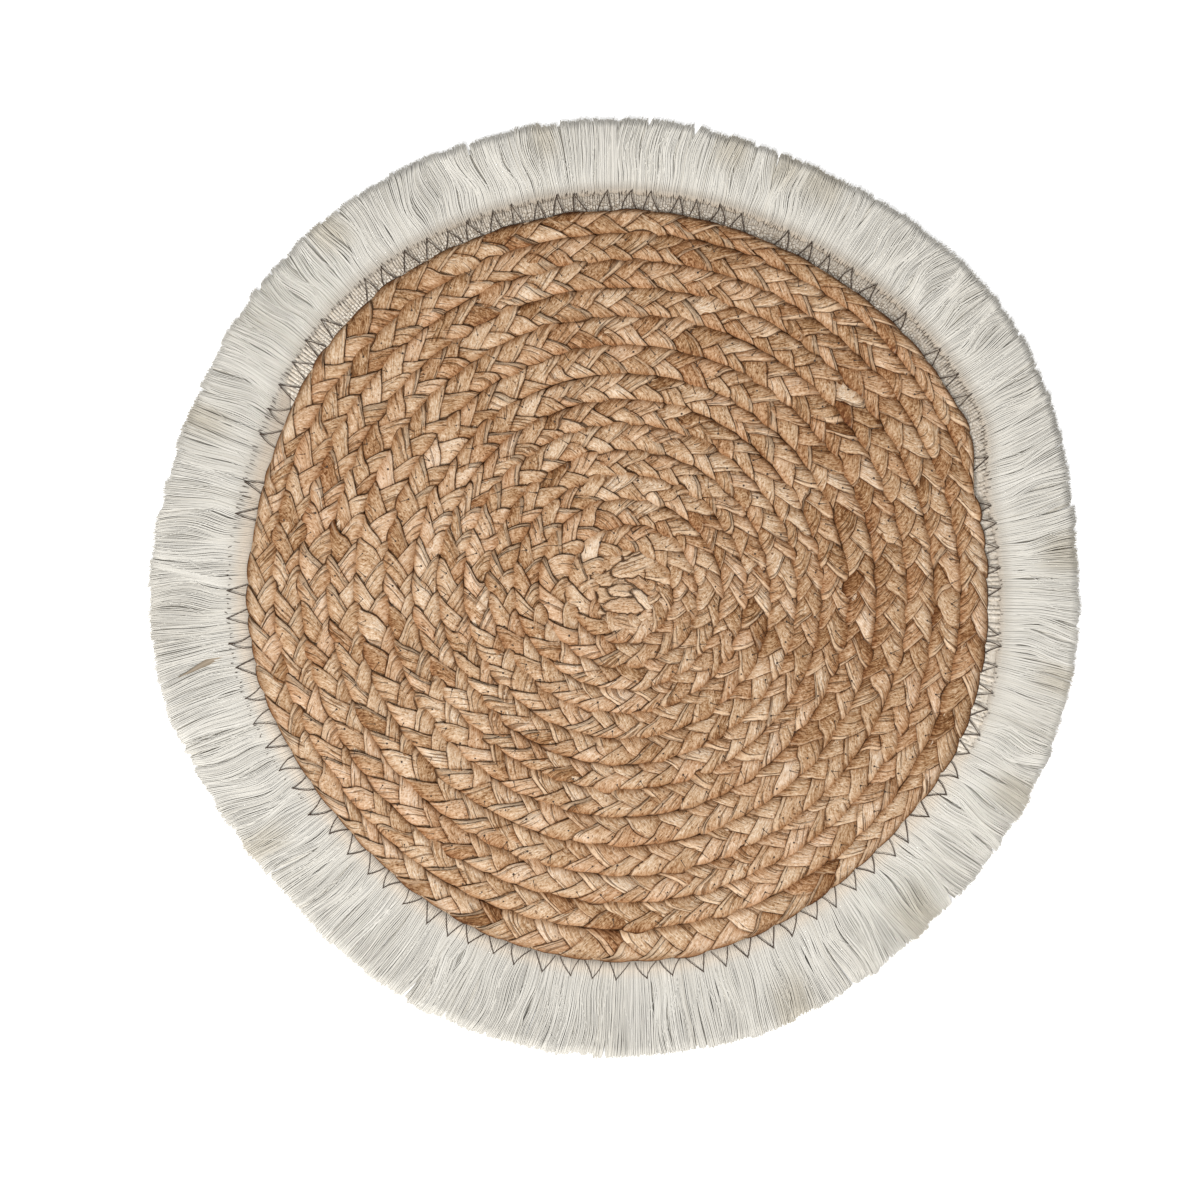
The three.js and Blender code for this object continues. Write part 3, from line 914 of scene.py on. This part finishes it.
def notch_gaps():
    for place, deep, half in NOTCHES:
        tip = float(tip_radius(np.array(place)) - rim_radius(np.array(place)))
        yield place, tip - 1.6 * deep, tip, tip + 60.0, half


class Locks:
    """The bundles that the threads gather in, the same for every layer of the fringe."""

    def __init__(self, seed):
        rng = default_rng(seed)
        edges = np.concatenate([[0.0], np.cumsum(rng.uniform(1.2, 3.4, 400))])
        edges = np.append(edges[edges < 358.6], 360.0)
        self.edges = edges
        self.middle = (edges[:-1] + edges[1:]) / 2
        self.half = (edges[1:] - edges[:-1]) / 2
        count = len(self.middle)
        self.converge = rng.uniform(-0.1, 0.22, count)
        self.longer = rng.uniform(-0.9, 0.5, count)
        self.lean = rng.uniform(-1.0, 1.0, count)
        self.sway = rng.uniform(-0.7, 0.7, count)
        self.phase = rng.uniform(0.0, 2.5, count)
        self.tone = rng.normal(0, 0.022, count)

    def number(self, angle):
        return np.searchsorted(self.edges, angle % 360.0, side="right").clip(1, len(self.middle)) - 1


LOCKS = Locks(8)


def thread_swing(rng, angle, s, lock, from_middle, bundled):
    """How far threads lean, gather in their lock, wave and stray along the rim, in mm."""
    count = len(angle)
    aside = column(from_middle * DEGREE * LOCK_ARC)
    lean = lean_of(angle) + bundled * LOCKS.lean[lock] + drift(rng, angle, 50, 0.5)
    swing = column(lean) * s ** 2 - column(bundled * LOCKS.converge[lock]) * aside * smooth(s, 0.2, 1.0)
    wave = np.clip(drift(default_rng(31), angle, 80, 1.3), -1.5, 1.5) + bundled * LOCKS.sway[lock]
    phase = drift(default_rng(32), angle, 60, 1.3) + bundled * LOCKS.phase[lock]
    swing = swing + column(wave) * np.sin(5.6 * s + column(phase)) * smooth(s, 0.05, 0.5)
    swing = swing + column(rng.normal(0, 0.1, count)) * s ** 1.5
    ripple = column(rng.normal(0, 0.05, count))
    ripple = ripple * np.sin(14.0 * s + column(rng.uniform(0, 6.28, count)))
    return swing + ripple * smooth(s, 0.1, 0.4)


def thread_heights(rng, s, layer, show, across):
    """Threads come out at the rim, or over the header where it shows, and lie down in their layer."""
    root = column(mix(3.5 + 0.13 * layer, 1.05 + 0.2 * layer, show))
    crest = column(mix(1.2 + 0.33 * layer, 0.95 + 0.28 * layer, show))
    rest = 0.5 + 0.3 * layer
    height = mix(root, mix(crest, rest, smooth(s, 0.25, 0.75)), smooth(s, 0.0, 0.17))
    puff = 0.22 * (1.0 - column(across) ** 2) * smooth(s, 0.1, 0.35)
    height = height + puff * (0.3 + 0.25 * layer) * (1.0 - 0.5 * s)
    height = height + column(rng.normal(0, 0.03, len(across))) * smooth(s, 0.0, 0.3)
    return mix(height, np.maximum(height * 0.72, 0.3), smooth(s, 0.75, 1.0))


def thread_looks(angle, s, reach, show, shade):
    """Painted shadow of the mat on the roots, beige patches near the tips, and how dim the threads are:
    painted shade that evens out the lamp round the rim and shades the lowest threads in the gaps.
    """
    warm = 0.07 * column(np.clip(drift(default_rng(33), angle, 70, 1.0), 0.0, 2.0)) * s
    for place, wide in PATCHES:
        away = column(degrees_from(angle, place))
        warm = warm + 0.6 * np.exp(-(away / wide) ** 4) * smooth(s, 0.4, 0.8)
    return {
        # Painted shadow of the mat on the roots, strongest at the top.
        "root": column(round_rim(ROOT_SHADES, angle)) * (1.0 - smooth(reach, 4.0, 12.5)),
        "warm": np.clip(warm, 0.0, 0.8),
        "peach": (1.0 - smooth(reach, 3.0, 6.5)) * mix(0.6, 0.5, column(show)),
        # Painted shade round the rim, and in the gaps on the lowest threads.
        "dim": 1.0 - column(round_rim(PAINTED_BRIGHTNESS, angle)) + 0.5 * shade,
    }


def thread_paths(rng, angle, steps, layer, shorter):
    """Threads that leave the rim at these angles: paths, shares, reaches, locks' tones and looks."""
    count = len(angle)
    s = np.linspace(0.0, 1.0, steps + 1)
    lock = LOCKS.number(angle)
    from_middle = angle % 360.0 - LOCKS.middle[lock]
    show = header_share(angle)
    rim = rim_radius(angle)
    root = rim + mix(-1.9, round_rim(HEADER_REACHES, angle) - 0.9, show)
    tip = tip_radius(angle) + LOCKS.longer[lock] + np.minimum(rng.normal(-0.1, 0.4, count), 0.7) - shorter
    tip -= np.where(rng.random(count) < 0.03, rng.uniform(1, 5, count), 0.0)
    radius = mix(column(root), column(tip), s)
    reach = radius - column(rim)

    lowest = layer == 0
    gaps = [*notch_gaps()] if lowest else [*notch_gaps(), *GAPS, *small_gaps()]
    swing = thread_swing(rng, angle, s, lock, from_middle, 0.2 if lowest else 1.0)
    swing = swing + opened(angle, swing, radius, reach, gaps)
    turned = column(angle) + np.degrees(swing / radius)
    height = thread_heights(rng, s, layer, show, from_middle / LOCKS.half[lock])
    # Painted shade on the lowest threads inside the gaps.
    shade = in_gaps(turned, radius, reach) if lowest else 0.0
    looks = thread_looks(angle, s, reach, show, shade)
    return at(radius, turned, height), s, reach, LOCKS.tone[lock], looks


def thread_mesh(name, rng, paths, thick, reach, tone, looks, material):
    points, faces = tubes(paths, thick, flat=0.48)
    tone = tone + rng.normal(0, 0.038, len(paths))
    values = {"seed": each(rng.random(len(paths))), "tone": each(tone)}
    values.update({key: look[:, :, None] for key, look in looks.items()})
    uv = (reach[:, :, None], np.arange(THREAD_SIDES) / THREAD_SIDES)
    return make_mesh(name, points, faces, material, values, uv)


def fringe_layer(layer, material):
    seed, count, steps, size, tone, shorter = THREAD_LAYERS[layer]
    rng = default_rng(seed)
    angle = (np.arange(count) + rng.uniform(-0.3, 0.3, count)) * 360.0 / count
    paths, s, reach, lock_tone, looks = thread_paths(rng, angle, steps, layer, shorter)
    thick = column(rng.uniform(0.9, 1.1, count)) * size * (1.0 - 0.12 * s)
    # Painted shade: a few threads darker, to look like the shaded gaps between locks.
    gap_shade_threads = np.where(rng.random(count) < 0.028, rng.uniform(0.15, 0.32, count), 0.0)
    tone = tone - gap_shade_threads + lock_tone
    return thread_mesh(f"fringe_threads_{layer + 1}", rng, paths, thick, reach, tone, looks, material)


def stray_threads(name, seed, count, material):
    """Single threads that lie across the others."""
    rng = default_rng(seed)
    angle = np.sort(rng.uniform(0.0, 360.0, count))
    paths, s, reach, lock_tone, looks = thread_paths(rng, angle, 10, STRAY_LAYER, 1.5)
    astray = rng.choice([-1.0, 1.0], count) * rng.uniform(2.0, 8.0, count)
    low = column(rng.uniform(0.1, 0.45, count))
    turn = column(astray) * smooth(s, low, low + 0.55) / STRAY_ARC
    middle = np.array([*MIDDLE, 0.0])
    x, y, z = np.moveaxis(paths - middle, -1, 0)
    turned = [x * np.cos(turn) - y * np.sin(turn), x * np.sin(turn) + y * np.cos(turn), z]
    paths = np.stack(turned, axis=-1) + middle
    thick = column(rng.uniform(0.13, 0.2, count)) * (1.0 - 0.2 * s)
    return thread_mesh(name, rng, paths, thick, reach, 0.62 + lock_tone, looks, material)


def wisp_piece(material):
    """A thin brownish shred that lies across the fringe at the left."""
    start, finish = np.array([-160.5, -25.2]), np.array([-183.5, -34.0])
    share = np.linspace(0.0, 1.0, 12)
    aside = np.array([finish[1] - start[1], start[0] - finish[0]]) / np.linalg.norm(finish - start)
    middle = start + (finish - start) * column(share) + aside * column(0.8 * np.sin(4.5 * share))
    half = 1.25 * np.sin(np.pi * share ** 0.7) ** 1.3 + 0.12
    points = np.zeros((len(share), 3, 3))
    for number, (side, height) in enumerate([(-1.0, 2.05), (0.0, 2.4), (1.0, 2.05)]):
        points[:, number, :2] = middle + aside * column(half * side) + MIDDLE
        points[:, number, 2] = height
    values = {"seed": 0.3, "tone": [-0.4, 0.15, -0.2], "root": 0.75, "warm": 0.0, "peach": 0.45,
              "dim": [0.42, 0.14, 0.3]}
    uv = (column(share * 20.0), [0.0, 1.2, 2.4])
    return make_mesh("straw_wisp", points, [patch_faces(1, len(share), 3)], material, values, uv)


def header_piece(material):
    """The woven strip that the threads hang from."""
    angles = np.linspace(0.0, 360.0, 481)[:-1]
    out, covered, shown = [column(part) for part in zip(*HEADER_SECTION)]
    rings = at(rim_radius(angles) + out, angles, mix(covered, shown, header_share(angles)))
    index = np.arange(rings.size // 3).reshape(rings.shape[:2])
    faces = ring_faces(np.concatenate([index, index[:1]]))
    # A darker header overall, plus painted shadow of the mat where ROOT_SHADES is high.
    values = {"loops": 0.0, "root": 0.24 + 0.24 * round_rim(ROOT_SHADES, angles)}
    return make_mesh("fringe_header", rings, [faces], material, values)


def rib_angles():
    """The header's ribs, closer together at the top."""
    angles = [0.0]
    while angles[-1] < 359.5:
        angles.append(angles[-1] + math.degrees(float(round_rim(RIB_PITCHES, angles[-1])) / RIM_ARC))
    return np.array(angles[:-1])


def rib_piece(material, flat=0.2):
    """The header's short ribs, one for each bundle of threads."""
    rng = default_rng(61)
    angle = rib_angles()
    angle = angle[header_share(angle) > 0.5]
    count = len(angle)
    s, width = np.array([(0.0, 0.75), (0.08, 0.98), (0.3, 1.0), (0.6, 1.0), (0.88, 0.92), (1.0, 0.55)]).T
    reach = column(round_rim(HEADER_REACHES, angle) + rng.uniform(-0.6, 0.5, count))
    out = (reach + 2.0) * s - 2.0
    radius = column(rim_radius(angle)) + out
    turned = column(angle) + np.degrees(column(rng.normal(0, 0.12, count)) * s / radius)
    thick = width * column(0.6 * round_rim(RIB_PITCHES, angle) * rng.uniform(0.95, 1.05, count))
    height = 4.1 - 2.45 * s ** 1.2 - flat * thick + column(rng.normal(0, 0.02, count))
    points, faces = tubes(at(radius, turned, height), thick, sides=6, flat=flat)
    # How much painted shade the gaps round the loops get.
    loops = column(round_rim(LOOP_GAP_SHADES, angle)) * (1.0 - smooth(out, 1.6, 4.2))
    # The same darkening and painted shadow on the ribs, less of it near the rim.
    root = (0.22 + 0.22 * column(round_rim(ROOT_SHADES, angle))) * (0.45 + 0.75 * smooth(out, 0.0, 4.5))
    values = {"loops": loops[:, :, None], "root": root[:, :, None]}
    return make_mesh("header_ribs", points, faces, material, values)


def header_shade_dashes(rng):
    """Short dark marks between the header's ribs, near where the threads come out: dark tubes as painted
    shade for the gaps between the yarns.
    """
    ribs = rib_angles()
    angle = (ribs[1:] + ribs[:-1]) / 2
    angle = angle[rng.random(len(angle)) < round_rim(DASH_SHARES, angle)]
    count = len(angle)
    long = column(round_rim(DASH_LENGTHS, angle) * rng.uniform(0.45, 1.2, count))
    outer = column(round_rim(HEADER_REACHES, angle) + rng.normal(0.7, 0.55, count))
    s, width = np.array([(0.0, 0.04), (0.4, 0.1), (0.8, 0.12), (1.0, 0.06)]).T
    out = outer - long * (1.0 - s)
    off = column(rng.normal(0, 0.35, count)) * s + column(rng.normal(0, 0.15, count)) * s ** 2
    shown, covered = np.maximum(3.82 - 0.36 * out, 2.1), np.maximum(3.95 - 0.33 * out, 2.5)
    height = mix(covered, shown, column(header_share(angle))) + 0.05 * s
    paths = at(column(rim_radius(angle)) + out, column(angle) + np.degrees(off / DASH_ARC), height)
    return tubes(paths, width * column(rng.uniform(0.7, 1.3, count)), sides=4)


def zigzag_peaks(rng):
    """Where the zigzag's peaks stand, less even where the header shows, with some left out."""
    peaks, angle = [], 0.0
    while angle < 357.0:
        covered = 1.0 - float(header_share(angle))
        if rng.random() <= round_rim(ZIGZAG_SHARES, angle):
            peaks.append(angle)
        pitch = mix(9.4, 10.7, covered) * rng.normal(1.0, mix(0.14, 0.04, covered))
        angle += math.degrees(pitch / RIM_ARC)
    return np.array(peaks)


def knots_at(tips):
    """A small thick knot at each peak."""
    knot = np.array([[-0.4, 0.1], [0.0, 0.27], [0.4, 0.1]])
    outward = (tips - np.array([*MIDDLE, 0.0])) * [1.0, 1.0, 0.0]
    outward /= np.linalg.norm(outward, axis=-1, keepdims=True)
    paths = tips[:, None] + outward[:, None] * knot[None, :, :1]
    return tubes(paths, np.tile(knot[:, 1], (len(tips), 1)), sides=4)


def zigzag_piece(material):
    """The dark thread over the header: a row of peaks, with their feet at the rim."""
    rng = default_rng(71)
    peaks = zigzag_peaks(rng)
    count = len(peaks)
    covered = column(1.0 - header_share(peaks))
    share, side = np.array(ZIGZAG_STEPS).T
    top = column(round_rim(HEADER_REACHES, peaks) + rng.normal(0.5, 0.55, count))
    left = column(np.exp(-((peaks - 182.0) / 26.0) ** 4))
    narrow, broad = column(rng.uniform(1.9, 3.7, count)), column(rng.uniform(3.5, 4.6, count))
    slip = column(rng.normal(0.0, 1.0, count))
    bend = column(rng.normal(0.0, 0.45, count)) * np.sin(np.pi * share)
    out = (top + 1.4) * share - 1.4
    off = side * mix(narrow, broad, covered * (1.0 - left)) + slip * share + bend
    height = mix(4.35 - 2.15 * share ** 1.15, 4.3 - 1.75 * share, covered)
    angle = column(peaks) + np.degrees(off / RIM_ARC)
    paths = at(rim_radius(angle) + out, angle, height)
    stout = mix(0.24 - 0.08 * share, 0.19, covered) * column(rng.uniform(0.85, 1.15, count))
    zigzag = tubes(paths, stout, sides=4)
    points, faces = joined(zigzag, knots_at(paths[:, share.argmax()]), header_shade_dashes(rng))
    return make_mesh("rim_zigzag", points, faces, material, {"seed": 0.0}, points[:, :2].T)


# The stitches between the rows, laid on the strips.
def surface_tree(pieces):
    verts, polys = [], []
    for piece in pieces:
        base = len(verts)
        verts += [v.co[:] for v in piece.data.vertices]
        polys += [[base + i for i in p.vertices] for p in piece.data.polygons]
    return BVHTree.FromPolygons(verts, polys)


def top_heights(tree, points, default=5.0):
    """Heights in mm of the strips under plan points in mm."""
    heights = []
    for x, y, _ in points.reshape(-1, 3):
        hit = tree.ray_cast(Vector((x * MM, y * MM, 0.05)), Vector((0, 0, -1)))
        heights.append(hit[0].z / MM if hit[0] is not None else default)
    return np.reshape(heights, points.shape[:-1])


def needle_holes(tree, holes, size):
    """A dark dot of three rings at each hole: partly the thread, partly painted shade for the hole."""
    middles = holes[:, None] + HOLE_RINGS[:, :3]
    middles[..., 2] = column(top_heights(tree, holes)) + HOLE_RINGS[:, 2]
    spin = 2 * np.pi * np.arange(HOLE_SIDES) / HOLE_SIDES
    ring = np.stack([np.cos(spin), np.sin(spin), np.zeros(HOLE_SIDES)], -1)
    dots = middles[:, :, None] + ring * (each(size)[..., None] * HOLE_RINGS[:, 3:, None])
    index = np.arange(dots.size // 3).reshape(dots.shape[:3])
    here, there = index[:, :-1], index[:, 1:]
    walls = np.stack([here, np.roll(here, -1, -1), np.roll(there, -1, -1), there], -1).reshape(-1, 4)
    return dots, [walls, index[:, 2], index[:, 0, ::-1]]


def row_stitches(material, tree):
    """The thread that joins each row to the next: needle holes, many with a leg or two of thread."""
    rng = default_rng(83)
    lengths = np.arange(24.0, PLAIT_LENGTH - 40.0, 9.8)
    turn = turn_at(lengths + rng.normal(0, 0.5, len(lengths))) + 1.0
    turn = turn[turn < EYE_TURN]
    count = len(turn)
    deep = rng.uniform(1.8, 4.2, count)
    radius, angle = row_edge(turn) - deep, angle_at(turn)
    share, lift, thick = np.array([
        (0.0, 0.0, 0.22), (0.22, 0.06, 0.15), (0.45, 0.06, 0.13), (0.7, 0.04, 0.12), (0.95, -0.05, 0.1)]).T
    legs = []
    for sign in (-1.0, 1.0):
        shown = rng.random(count) < 0.42
        off = column(rng.uniform(0.6, 3.4, count)[shown]) * share * sign
        out = column(radius[shown]) + column(deep[shown]) * share
        legs.append(at(out, column(angle[shown]) + np.degrees(off / out), 0.0))
    paths = np.concatenate(legs)
    paths[..., 2] = top_heights(tree, paths) + lift
    threads = tubes(paths, np.tile(thick, (len(paths), 1)))
    holes = needle_holes(tree, at(radius, angle, 0.0), rng.uniform(0.32, 0.6, count))
    points, faces = joined(threads, holes)
    return make_mesh("row_stitches", points, faces, material, {"seed": 0.0}, points[:, :2].T)


# The studio.
def make_surround():
    scene = bpy.context.scene
    scene.view_settings.view_transform = "Standard"
    world = bpy.data.worlds.new("studio")
    scene.world = world
    world.use_nodes = True
    inputs = world.node_tree.nodes["Background"].inputs
    inputs["Color"].default_value = (1.0, 1.0, 1.0, 1.0)
    inputs["Strength"].default_value = SURROUND_STRENGTH


def make_floor():
    m = Nodes("studio_floor")
    m.finish(Base_Color=(0.9, 0.9, 0.9, 1.0), Roughness=1.0, Emission_Color=(1.0, 1.0, 1.0, 1.0),
             Emission_Strength=FLOOR_GLOW)
    bpy.ops.mesh.primitive_plane_add(size=FLOOR_SIZE, location=(0, 0, -FLOOR_DROP))
    floor = bpy.context.object
    floor.name = "studio_floor"
    floor.data.materials.append(m.material)


def make_lamp():
    key = bpy.data.lights.new("key", "AREA")
    key.shape = "DISK"
    key.size = LAMP_SIZE
    key.energy = LAMP_POWER
    key.color = LAMP_COLOUR
    lamp = add_object("key", key)
    lamp.location = LAMP_PLACE
    lamp.rotation_euler = (-Vector(LAMP_PLACE)).to_track_quat("-Z", "Y").to_euler()


def make_camera():
    """Straight above, framed as the photograph frames the mat."""
    data = bpy.data.cameras.new("camera")
    data.sensor_width = SENSOR_WIDTH
    view_width = PHOTO_WIDTH * PIXEL * MM
    data.lens = SENSOR_WIDTH / 2 / math.tan(math.atan(view_width / 2 / CAMERA_HEIGHT))
    camera = add_object("camera", data)
    right, down = [(place - PHOTO_WIDTH / 2) * PIXEL for place in SPIRAL_IN_PHOTO]
    camera.location = ((MIDDLE[0] - right) * MM, (MIDDLE[1] + down) * MM, CAMERA_HEIGHT)
    bpy.context.scene.camera = camera


make_camera()
make_surround()
make_floor()
make_lamp()

straw = straw_material("straw")
cotton = cotton_material()
dark_thread = thread_material()

core = core_piece(core_material())
families = plait_families(10)
strips_on_top = plait_face("", 11, families, straw, 0.33)
strips_below = plait_face("_under", 13, families, straw, 0.8, under=True)
stitches = row_stitches(dark_thread, surface_tree(strips_on_top))
header = header_piece(header_material())
ribs = rib_piece(header.data.materials[0])
threads = [fringe_layer(layer, cotton) for layer in range(len(THREAD_LAYERS))]
threads += [stray_threads("fringe_strays", 25, 230, cotton), wisp_piece(cotton)]
zigzag = zigzag_piece(dark_thread)

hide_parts("braided_mat")
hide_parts("fringe")
